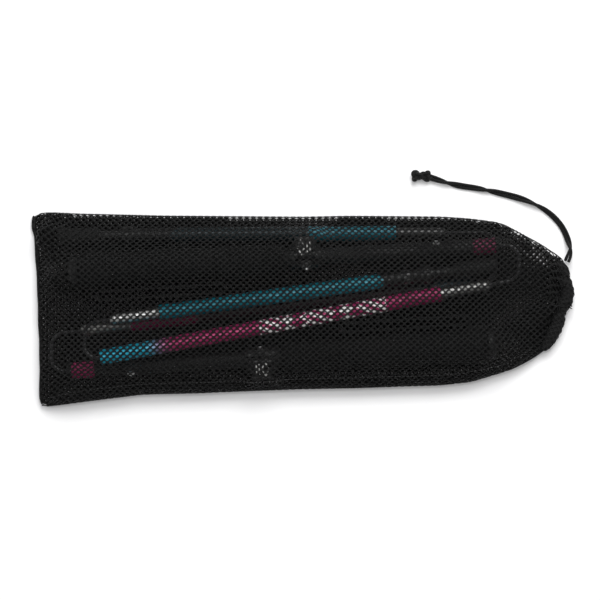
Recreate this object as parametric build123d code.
from build123d import *

import os
from math import cos, pi, radians, sin

# A pair of folding climbing sticks stored in a mesh drawstring bag.
#
# Frame: millimetres. The bag lies on the ground, Z = 0. +X runs along the bag from its sewn end
# to its drawstring mouth, +Y runs across it to the folded edge, and +Z is up.
# Each stick is three sections held together by a cable: the upper section with the grip, the
# middle one and the lower one with the tip. Stick 1 has its grip at the bag's sewn end, and
# stick 2 has its grip at the mouth. Every section is built along its own local X axis,
# starting at its top end, and is then laid in its place.

os.makedirs("parts", exist_ok=True)

# ---- driving dimensions: the bag ----
cloth = 1.0  # thickness of the mesh cloth
fill_height = 39.5  # top of the filled bag
# The bag's section at stations along X: (x, y of the seam edge, y of the
# folded edge, height of the edge, height of the crown).
bag_stations = [
    (-230.0, -79.0, 80.0, 12.0, 15.0),
    (-212.0, -81.0, 81.0, 16.0, 30.0),
    (-195.0, -79.0, 81.0, 16.0, fill_height),
    (-60.0, -71.0, 80.0, 16.0, fill_height),
    (120.0, -68.5, 79.0, 18.0, fill_height),
    (168.0, -64.0, 74.0, 18.0, fill_height),
    (196.0, -52.0, 60.0, 16.0, 32.0),
    (214.0, -42.0, 46.0, 12.0, 20.0),
]
shoulder = 0.87  # where the crown starts, as a share of the half-width
edge_share = 0.965  # where the side meets the rolled edge
rim_rise = 0.35  # how far up the rolled edge the upper layer starts, as a share of its height
rim_inset = 2.0  # how far inside the outline the lower layer ends
seam_width = 3.0
seam_gap = 0.05  # between a seam and the layers that it joins
end_seam_corner = 9.0  # length of the sewn end left free at each corner

# ---- driving dimensions: the mouth and the drawstring ----
casing_length = 16.0
casing_width = 88.0
casing_height = 20.0
casing_wall = 5.0
casing_start = 214.0
casing_centre_y = 2.0
cord_diameter = 2.6
channel_radius = 1.7
strand_gap = 2.9  # between the centres of the two strands
cord_level = 1.5  # height of a strand's centre where it lies on the ground
cord_exit = (226.0, 41.0, 12.0)  # where the two strands leave the casing
# The middle line of the doubled cord, as the corners of its route in plan.
cord_route = [
    (229.5, 48.0, 8.0),
    (228.5, 58.0, cord_level),
    (222.5, 72.0, cord_level),
    (210.0, 84.5, cord_level),
    (192.5, 93.5, cord_level),
    (172.0, 99.0, cord_level),
    (152.0, 103.5, cord_level),
    (133.0, 106.0, cord_level),
    (117.0, 110.5, cord_level),
    (108.0, 113.5, 3.0),
]
knot_centre = (101.0, 114.6, 4.6)
knot_lump = (4.4, 4.9, 4.4)  # half-axes of each of the knot's two lumps
knot_pitch = 6.6  # between the two lumps

# ---- driving dimensions: one stick ----
upper_length = 370.0
middle_length = 338.0
lower_length = 326.0
outer_shaft_r = 8.0
inner_shaft_r = 7.0
section_shaft_r = 6.5
shaft_wall = 1.0
ferrule_r = 4.9
ferrule_out = 42.5  # length of a ferrule that shows
ferrule_in = 20.0  # length bonded into its shaft
ferrule_fit = 0.15  # radial gap of a ferrule in its socket
sleeve_length = 46.0  # of the socket in the middle section's far end
cable_r = 1.5
cable_bore_r = 3.2
cable_bend = 11.0  # radius of the bends in a cable's loop
cable_inside = 6.0  # how far a loop's cable reaches into each section
slip = 0.1  # radial gap of a sliding or slipped-on piece

grip_start = 8.0
grip_start_r = 13.6
grip_end = 125.0
grip_end_r = 13.4
cap_depth = 14.0
grip_radius = 16.6
sleeve_end = 186.0
outer_shaft_end = 206.0
clamp_start = 190.0
clamp_end = 216.0
clamp_r = 10.6
clamp_middle = (clamp_start + clamp_end) / 2
pin_y = 2.4  # the lever's pin, beside the slit on the collar's top
pin_z = 13.4
pin_r = 1.25
ear_r = 3.4
ear_thickness = 3.0
ear_middle = 7.7  # from the middle of the clamp to the middle of an ear
hub_width = 11.6
blade_width = 17.0
blade_centre = (3.0, 1.0)  # the middle of the blade's curve
blade_inner_r = 13.0
blade_outer_r = 15.4
screw_y = -5.4
screw_z = 11.7
screw_r = 1.4
slit_y = -1.9
slit_width = 1.2
inner_shaft_start = 120.0
socket_length = 19.0
button_x = 315.0
button_r = 3.0
button_tilt = 40.0  # how far above the stick's side the button points
button_foot = 3.3  # from the stick's axis to the button's foot

strap_width = 19.0
strap_length = 112.0
strap_loop = 9.0  # width of the flat loop
strap_thickness = 1.6
strap_start = 22.0
strap_gap = 0.8  # between the loop and the grip
slot_x = 20.0  # the slot in the grip that takes the strap
slot_length = 11.0
slot_depth = 8.0
slot_width = strap_width - 8.0

basket_r = 9.4
basket_hub_r = 8.0
basket_hole_r = 0.45
basket_holes = 6
basket_x = 268.0
lower_shaft_end = 262.0
holder_start = 245.0
holder_end = 312.0
tip_start = 302.0
cap_start = 296.0
cap_end = 332.0

# Where each section lies: its top end, then its far end.
sticks = {
    "stick_1": {
        "upper": ((-200.4, 31.5, 19.6), (168.6, 54.2, 19.6)),
        "middle": ((159.4, 20.9, 22.0), (-172.9, -41.3, 24.6)),
        "lower": ((-164.7, -9.0, 22.0), (177.0, 39.5, 21.6)),
        "bend_out": (16.0, 25.0, 15.0, 21.0),
    },
    "stick_2": {
        "upper": ((166.8, -29.6, 18.6), (-200.0, -53.1, 9.2)),
        "middle": ((-190.0, -18.6, 8.2), (145.5, 22.6, 8.2)),
        "lower": ((122.1, 65.2, 8.4), (-202.9, 62.2, 13.4)),
        "bend_out": (15.5, 25.5, 20.0, 43.0),
    },
}

at_start = (Align.CENTER, Align.CENTER, Align.MIN)


# ---- helpers ----
def rod(start, end, radius, bore=0.0):
    """A round bar or tube along X."""
    body = Pos(start, 0, 0) * Rot(0, 90, 0) * Cylinder(radius, end - start, align=at_start)
    if bore:
        hole = Pos(start - 1, 0, 0) * Rot(0, 90, 0)
        body -= hole * Cylinder(bore, end - start + 2, align=at_start)
    return body


def turned(*outline):
    """A solid turned about X, from its outline in (x, radius) points."""
    face = Plane.XZ * make_face(Polyline(*outline, close=True))
    return revolve(face, Axis.X)


def place_of(start, end):
    """The place of a section whose local X runs from start to end, with its local Z upwards."""
    along = (Vector(*end) - Vector(*start)).normalized()
    up = Vector(0, 0, 1) - along * along.Z
    return Location(Plane(origin=start, x_dir=along, z_dir=up.normalized()))


def save(name, shape):
    shape = Compound(children=list(shape.solids())) if len(shape.solids()) > 1 else shape.solids()[0]
    export_step(shape, f"parts/{name}.step")


def facet(*corners):
    return Face(Wire.make_polygon([Vector(*c) for c in corners]))


def solid_from_grid(upper, lower):
    """A closed solid between two grids of points of the same size."""
    rows, columns = len(upper), len(upper[0])
    faces = []
    for grid in (upper, lower):
        for i in range(rows - 1):
            for j in range(columns - 1):
                a, b = grid[i][j], grid[i + 1][j]
                c, d = grid[i + 1][j + 1], grid[i][j + 1]
                faces += [facet(a, b, c), facet(a, c, d)]
    rim = [(i, 0) for i in range(rows)]
    rim += [(rows - 1, j) for j in range(1, columns)]
    rim += [(i, columns - 1) for i in range(rows - 2, -1, -1)]
    rim += [(0, j) for j in range(columns - 2, -1, -1)]
    for (i, j), (k, m) in zip(rim, rim[1:]):
        faces += [facet(upper[i][j], upper[k][m], lower[k][m])]
        faces += [facet(upper[i][j], lower[k][m], lower[i][j])]
    return Solid(Shell(faces))


# ---- the bag ----
def bag_section(x, seam_y, fold_y, edge_z, crown_z, inset):
    """Points across the upper layer at one station, inset by the cloth for its inner side."""
    low, high = seam_y + inset, fold_y - inset
    middle, half = (low + high) / 2, (high - low) / 2
    across = [(-1.0, rim_rise), (-edge_share, 1.0)]
    points = [(x, middle + half * share, edge_z * up - inset) for share, up in across]
    points += [(x, middle - half * shoulder, crown_z - inset)]
    mirrored = [(x, 2 * middle - y, z) for _, y, z in reversed(points)]
    return points + [(x, middle, crown_z - inset)] + mirrored


def bag_top():
    """The upper layer: a crowned sheet from seam to fold, closed by the sewn end's wall."""
    outer = [bag_section(*station, 0.0) for station in bag_stations]
    inner = [bag_section(*station, cloth) for station in bag_stations]
    return solid_from_grid(outer, inner)


def bag_bottom():
    """The lower layer: a flat sheet on the ground with its rim turned up to the upper layer."""
    low = []
    for x, seam, fold, _, _ in bag_stations:
        low.append([(x, seam + rim_inset, 0.0), (x, fold - rim_inset, 0.0)])
    high = [[(x, y, cloth) for _, y, _ in row] for row, (x, *_) in zip(low, bag_stations)]
    return solid_from_grid(high, low)


def side_seam():
    """The seam between the layers along -Y: a strip that stands on the lower layer's rim."""
    tops, feet = [], []
    foot_z = cloth + seam_gap
    for x, seam, _, edge_z, _ in bag_stations:
        top_z = edge_z * rim_rise - cloth - seam_gap
        tops.append([(x, seam, top_z), (x, seam + seam_width, top_z)])
        feet.append([(x, seam + 0.3 * seam_width, foot_z), (x, seam + seam_width, foot_z)])
    return solid_from_grid(tops, feet)


def end_seam():
    """The turned seam across the sewn end: a wall between the two layers."""
    x, seam, fold, edge_z, crown_z = bag_stations[0]
    length = fold - seam - 2 * end_seam_corner
    foot = (Align.MIN, Align.CENTER, Align.MIN)
    wall = Box(seam_width, length, edge_z - cloth - 2 * seam_gap, align=foot)
    lip = Box(1.5 * seam_width, length, seam_width / 2, align=foot)
    body = wall + Pos(seam_width / 2, 0, edge_z / 2) * lip
    return Pos(x + seam_width / 8, (seam + fold) / 2, cloth + seam_gap) * body


def stadium(width, height):
    """A flat outline with round ends."""
    return RectangleRounded(width, height, height / 2 - 0.05)


def mouth_casing():
    """The hem that the drawstring runs in, drawn up into a flat oval collar."""
    outer = stadium(casing_width, casing_height)
    opening = stadium(casing_width - 2 * casing_wall, casing_height - 2 * casing_wall)
    collar = extrude(outer - opening, casing_length)
    collar = casing_place() * collar
    first_run = Plane(origin=cord_exit, z_dir=Vector(*cord_route[0]) - Vector(*cord_exit))
    eyelet = first_run * SlotCenterToCenter(strand_gap, cord_diameter + 0.4)
    eyelet = extrude(eyelet, 14.0) + extrude(eyelet, -2.0)
    return collar - sweep_ring(channel_radius) - eyelet


def casing_place():
    """The collar's place: its outline's width along Y, and its length along X."""
    return Location(
        Plane(
            origin=(casing_start, casing_centre_y, casing_height / 2),
            x_dir=(0, 1, 0),
            z_dir=(1, 0, 0),
        )
    )


def sweep_ring(radius):
    """A round bar that follows the middle of the collar's wall all the way round."""
    half_w = (casing_width - casing_wall) / 2
    half_h = (casing_height - casing_wall) / 2
    x = casing_start + casing_length / 2
    straight = half_w - half_h
    bars = []
    for side in (-1, 1):
        bar = Cylinder(radius, 2 * straight)
        bars.append(
            Pos(x, casing_centre_y, casing_height / 2 + side * half_h) * Rot(90, 0, 0) * bar
        )
        arc = Torus(half_h, radius)
        keep = Box(20, 40, 60, align=(Align.CENTER, Align.MIN if side > 0 else Align.MAX, Align.CENTER))
        place = Pos(x, casing_centre_y + side * straight, casing_height / 2)
        bars.append(place * ((Rot(0, 90, 0) * arc) & keep))
    return bars[0] + bars[1] + bars[2] + bars[3]


def strand_route(side):
    """One strand's route: the doubled cord's middle line, moved half the gap to one side."""
    points = [Vector(*p) for p in [cord_exit, *cord_route]]
    moved = []
    for i, point in enumerate(points):
        before, after = points[max(i - 1, 0)], points[min(i + 1, len(points) - 1)]
        along = after - before
        across = Vector(-along.Y, along.X, 0).normalized()
        moved.append(point + across * (side * strand_gap / 2))
    return moved


def tangent_radii(points):
    """The largest radius that each corner's two runs allow, with a little straight between."""
    radii = []
    for before, here, after in zip(points, points[1:], points[2:]):
        one, two = here - before, after - here
        half_turn = radians(one.get_angle(two)) / 2
        radii.append(0.45 * min(one.length, two.length) / (sin(half_turn) / cos(half_turn)))
    return radii


def strand(side):
    points = strand_route(side)
    radii = tangent_radii(points)
    path = FilletPolyline(*points, radius=radii)
    print("strand", side, "radii", [round(r, 1) for r in radii], "length", round(path.length, 1))
    section = Plane(origin=path @ 0, z_dir=path % 0) * Circle(cord_diameter / 2)
    tube = sweep(section, path=path)
    ratio = tube.volume / (pi * (cord_diameter / 2) ** 2 * path.length)
    print("  volume over section times length", round(ratio, 4))
    return tube


def knot():
    """Two overhand knots side by side, as two lumps, with the strand ends inside."""
    x, y, z = knot_centre
    lump = scale(Sphere(1.0), by=knot_lump)
    body = Pos(x + knot_pitch / 2 - 0.4, y - 0.4, z) * lump
    return body + Pos(x - knot_pitch / 2 - 0.4, y + 0.4, z) * lump


# ---- the upper section ----
def grip():
    """The foam grip: a waisted handle, slipped over the shaft and slotted for the strap."""
    outline = Spline(
        (grip_start, grip_start_r),
        (18, grip_radius - 0.4),
        (32, 15.4),
        (58, 14.4),
        (84, 15.2),
        (106, 14.2),
        (grip_end, grip_end_r),
    )
    bore_r = outer_shaft_r + slip
    inside = Polyline(
        (grip_end, grip_end_r),
        (grip_end, bore_r),
        (grip_start, bore_r),
        (grip_start, grip_start_r),
    )
    body = revolve(Plane.XZ * make_face([outline, inside]), Axis.X)
    slot = Pos(slot_x, -grip_radius, 0) * Box(slot_length, 2 * slot_depth, slot_width)
    return body - slot


def grip_cap():
    dome = [(0.0, 0), (0.6, 7.5), (2.6, 11.6), (5.5, 13.4), (7.9, 13.6)]
    return turned(*dome, (7.9, 7.8), (cap_depth, 6.8), (cap_depth, 0))


def foam_sleeve():
    return turned(
        (grip_end + 0.2, outer_shaft_r + slip),
        (grip_end + 0.2, 13.0),
        (grip_end + 6, 13.6),
        (sleeve_end - 8, 12.6),
        (sleeve_end, 10.6),
        (sleeve_end, outer_shaft_r + slip),
    )


def strap():
    """The wrist strap's loop, laid flat along the grip's right side and standing on its edge."""
    outer = stadium(strap_length, strap_loop)
    inner = stadium(strap_length - 2 * strap_thickness, strap_loop - 2 * strap_thickness)
    loop = extrude(outer - inner, strap_width)
    x = strap_start + strap_length / 2
    y = -grip_radius - strap_gap - strap_loop / 2
    return Pos(x, y, -strap_width / 2) * loop


def strap_wedge():
    """The wedge that pins the strap in the grip's slot."""
    depth = slot_depth - 0.4
    wedge = Box(slot_length - 2.0, depth, slot_width - 1.4)
    wedge = Pos(slot_x, -grip_radius + depth / 2, 0) * wedge
    return wedge - rod(0, 2 * slot_x, outer_shaft_r + slip)


def across_clamp(y, z):
    """A place beside the collar whose local Z runs along the stick."""
    return Pos(clamp_middle, y, z) * Rot(0, 90, 0)


def clamp_collar():
    collar = rod(clamp_start, clamp_end, clamp_r)
    for x in (-ear_middle, ear_middle):
        ear = across_clamp(pin_y, pin_z) * Pos(0, 0, x) * Cylinder(ear_r, ear_thickness)
        foot = Pos(clamp_middle + x, pin_y, pin_z - 3.0) * Box(ear_thickness, 2 * ear_r, 6.0)
        collar += ear + foot
    collar += Pos(clamp_middle, screw_y, clamp_r - 0.6) * Box(8.0, 5.2, 6.4)
    collar -= rod(clamp_start - 1, outer_shaft_end + slip, outer_shaft_r + slip)
    collar -= rod(outer_shaft_end - 1, clamp_end + 1, inner_shaft_r + slip)
    collar -= across_clamp(pin_y, pin_z) * Cylinder(pin_r + slip / 2, 30)
    collar -= Pos(clamp_middle, screw_y, screw_z) * Rot(90, 0, 0) * Cylinder(screw_r + slip / 2, 8)
    collar -= Pos(clamp_middle, slit_y, clamp_r) * Box(clamp_end - clamp_start + 2, slit_width, 8)
    return collar - across_clamp(pin_y, pin_z) * Cylinder(ear_r + 0.5, hub_width + 0.6)


def clamp_lever():
    """The cam lever: a hub on the pin, and a curved blade that stands off the collar's side."""
    hub = across_clamp(pin_y, pin_z) * Cylinder(ear_r, hub_width)
    ring = across_clamp(*blade_centre) * Cylinder(blade_outer_r, blade_width)
    ring -= across_clamp(*blade_centre) * Cylinder(blade_inner_r, blade_width + 1)
    narrow = Pos(clamp_middle, 10.4, 8.0) * Box(hub_width, 20.8, 18.0)
    wide = Pos(clamp_middle, 13.6, 8.0) * Box(blade_width, 12.0, 18.0)
    lever = hub + (ring & (narrow + wide))
    return lever - across_clamp(pin_y, pin_z) * Cylinder(pin_r + slip / 2, 30)


def clamp_pin():
    return across_clamp(pin_y, pin_z) * Cylinder(pin_r, 2 * ear_middle + ear_thickness + 0.6)


def clamp_screw():
    """The tension screw through the collar's block, across the slit."""
    shank = Pos(clamp_middle, screw_y, screw_z) * Rot(90, 0, 0) * Cylinder(screw_r, 5.6)
    head = Pos(clamp_middle, screw_y - 4.0, screw_z) * Rot(90, 0, 0) * Cylinder(screw_r + 1.0, 2.4)
    return head + shank


def outer_shaft():
    return rod(cap_depth + 0.2, outer_shaft_end, outer_shaft_r, outer_shaft_r - 0.9)


def inner_shaft():
    tube = rod(inner_shaft_start, upper_length - socket_length, inner_shaft_r, inner_shaft_r - shaft_wall)
    hole = Pos(button_x, inner_shaft_r, 0) * Rot(90, 0, 0) * Cylinder(button_r + slip, 8)
    return tube - Rot(button_tilt, 0, 0) * hole


def inner_socket():
    """The coloured collar at the upper section's end, which takes the middle section's ferrule."""
    start = upper_length - socket_length
    neck_r = inner_shaft_r - shaft_wall - 0.05
    body = rod(start + 0.05, upper_length, inner_shaft_r) + rod(start - 10, start + 0.05, neck_r)
    return body - rod(start - 11, upper_length + 1, ferrule_r + ferrule_fit)


def lock_button():
    """The sprung button that locks the stretched stick: a domed stud with a wide foot."""
    stud = turned(
        (0, 0),
        (0, button_r + 0.9),
        (1.0, button_r + 0.9),
        (1.0, button_r),
        (4.5, button_r),
        (5.2, 1.8),
        (5.3, 0),
    )
    return Rot(button_tilt, 0, 0) * Pos(button_x, button_foot, 0) * Rot(0, 0, 90) * stud


def button_spring():
    """The spring strip behind the button, bent to a V inside the shaft."""
    far_wall = -inner_shaft_r + shaft_wall + 1.6
    reach = button_foot - far_wall
    strip = Pos(button_x - 16, far_wall, 0) * Box(40, 0.5, 4.0)
    leg = Pos(button_x - 16.5, far_wall + reach / 2 - 0.35, 0)
    leg *= Rot(0, 0, 11) * Box(38, 0.5, 4.0)
    bow = Pos(button_x - 35.6, far_wall + 0.4, 0) * Box(0.8, 1.3, 4.0)
    return Rot(button_tilt, 0, 0) * (strip + leg + bow)


# ---- the middle and lower sections ----
def ferrule():
    return turned(
        (0, cable_bore_r),
        (0, ferrule_r - 1.2),
        (3.5, ferrule_r),
        (ferrule_out, ferrule_r),
        (ferrule_out, section_shaft_r - shaft_wall - 0.05),
        (ferrule_out + ferrule_in, section_shaft_r - shaft_wall - 0.05),
        (ferrule_out + ferrule_in, cable_bore_r),
    )


def middle_shaft():
    return rod(ferrule_out + 0.05, middle_length, section_shaft_r, section_shaft_r - shaft_wall)


def middle_socket():
    """The sleeve in the middle section's far end, which takes the lower section's ferrule."""
    sleeve_r = section_shaft_r - shaft_wall - 0.05
    return rod(middle_length - sleeve_length, middle_length, sleeve_r, ferrule_r + ferrule_fit)


def lower_shaft():
    return rod(ferrule_out + 0.05, lower_shaft_end, section_shaft_r, section_shaft_r - shaft_wall)


def tip_holder():
    """The flexible plastic end that carries the basket and the hard tip."""
    plug_r = section_shaft_r - shaft_wall - 0.05
    body = turned(
        (holder_start, 0),
        (holder_start, plug_r),
        (lower_shaft_end + 0.05, plug_r),
        (lower_shaft_end + 0.05, 6.3),
        (basket_x + 12, 5.8),
        (basket_x + 12, 4.6),
        (holder_end, 4.0),
        (holder_end, 0),
    )
    return body - rod(tip_start, holder_end + 1, 2.05)


def basket():
    """A low-profile basket: a hub on the tip holder and a thin disc with holes."""
    body = rod(basket_x + 4, basket_x + 6.4, basket_r) + rod(basket_x, basket_x + 9, basket_hub_r)
    hole_out = (basket_r + basket_hub_r) / 2
    for k in range(basket_holes):
        hole = Pos(basket_x + 5.2, hole_out, 0) * Rot(0, 90, 0) * Cylinder(basket_hole_r, 4)
        body -= Rot(360 / basket_holes * (k + 0.5), 0, 0) * hole
    return body - rod(basket_x - 1, basket_x + 10, 6.4)


def carbide_tip():
    bare = holder_end + 0.1
    return turned(
        (tip_start + 0.1, 0),
        (tip_start + 0.1, 2.0),
        (bare, 2.0),
        (bare, 2.6),
        (bare + 4, 2.9),
        (lower_length - 4, 2.9),
        (lower_length - 1.4, 1.6),
        (lower_length, 0.6),
        (lower_length, 0),
    )


def tip_cap():
    """The rubber protector pushed over the hard tip."""
    return turned(
        (cap_start, 4.6),
        (cap_start, 6.2),
        (cap_start + 2, 6.6),
        (cap_end - 3, 6.9),
        (cap_end, 6.3),
        (cap_end, 0),
        (lower_length + 1, 0),
        (lower_length + 1, 3.1),
        (holder_end + 1.5, 3.1),
        (holder_end + 0.6, 4.6),
    )


# ---- the cables ----
def cable(out_of, into, reach_out, reach_in):
    """The coated cable's loop from one section's end round to the next section's end."""
    (end_a, along_a), (end_b, along_b) = out_of, into
    points = [
        end_a - along_a * cable_inside,
        end_a + along_a * reach_out,
        end_b + along_b * reach_in,
        end_b - along_b * cable_inside,
    ]
    path = FilletPolyline(*points, radius=cable_bend)
    section = Plane(origin=path @ 0, z_dir=path % 0) * Circle(cable_r)
    return sweep(section, path=path)


def end_facing_out(start, end, at_end):
    """A section's end point and the direction that points out of it."""
    start, end = Vector(*start), Vector(*end)
    along = (end - start).normalized()
    return (end, along) if at_end else (start, -along)


upper_pieces = {
    "grip": grip,
    "grip_cap": grip_cap,
    "foam_sleeve": foam_sleeve,
    "strap": strap,
    "strap_wedge": strap_wedge,
    "outer_shaft": outer_shaft,
    "clamp_collar": clamp_collar,
    "clamp_lever": clamp_lever,
    "clamp_pin": clamp_pin,
    "clamp_screw": clamp_screw,
    "inner_shaft": inner_shaft,
    "inner_socket": inner_socket,
    "lock_button": lock_button,
    "button_spring": button_spring,
}
middle_pieces = {
    "middle_ferrule": ferrule,
    "middle_shaft": middle_shaft,
    "middle_socket": middle_socket,
}
lower_pieces = {
    "lower_ferrule": ferrule,
    "lower_shaft": lower_shaft,
    "tip_holder": tip_holder,
    "basket": basket,
    "carbide_tip": carbide_tip,
    "tip_cap": tip_cap,
}


def make_stick(name, where):
    for section, pieces in (
        ("upper", upper_pieces),
        ("middle", middle_pieces),
        ("lower", lower_pieces),
    ):
        place = place_of(*where[section])
        for piece, make in pieces.items():
            save(f"{name}_{piece}", place * make())
    out_1, in_1, out_2, in_2 = where["bend_out"]
    upper_out = end_facing_out(*where["upper"], True)
    middle_top = end_facing_out(*where["middle"], False)
    middle_far = end_facing_out(*where["middle"], True)
    lower_top = end_facing_out(*where["lower"], False)
    save(f"{name}_upper_cable", cable(upper_out, middle_top, out_1, in_1))
    save(f"{name}_lower_cable", cable(middle_far, lower_top, out_2, in_2))


def make_bag():
    save("bag_top_layer", bag_top())
    save("bag_bottom_layer", bag_bottom())
    save("bag_side_seam", side_seam())
    save("bag_end_seam", end_seam())
    save("mouth_casing", mouth_casing())
    save("drawstring_loop", sweep_ring(cord_diameter / 2))
    save("drawstring_strand_1", strand(1))
    save("drawstring_strand_2", strand(-1))
    save("drawstring_knot", knot())


make_bag()
for stick_name, stick in sticks.items():
    make_stick(stick_name, stick)
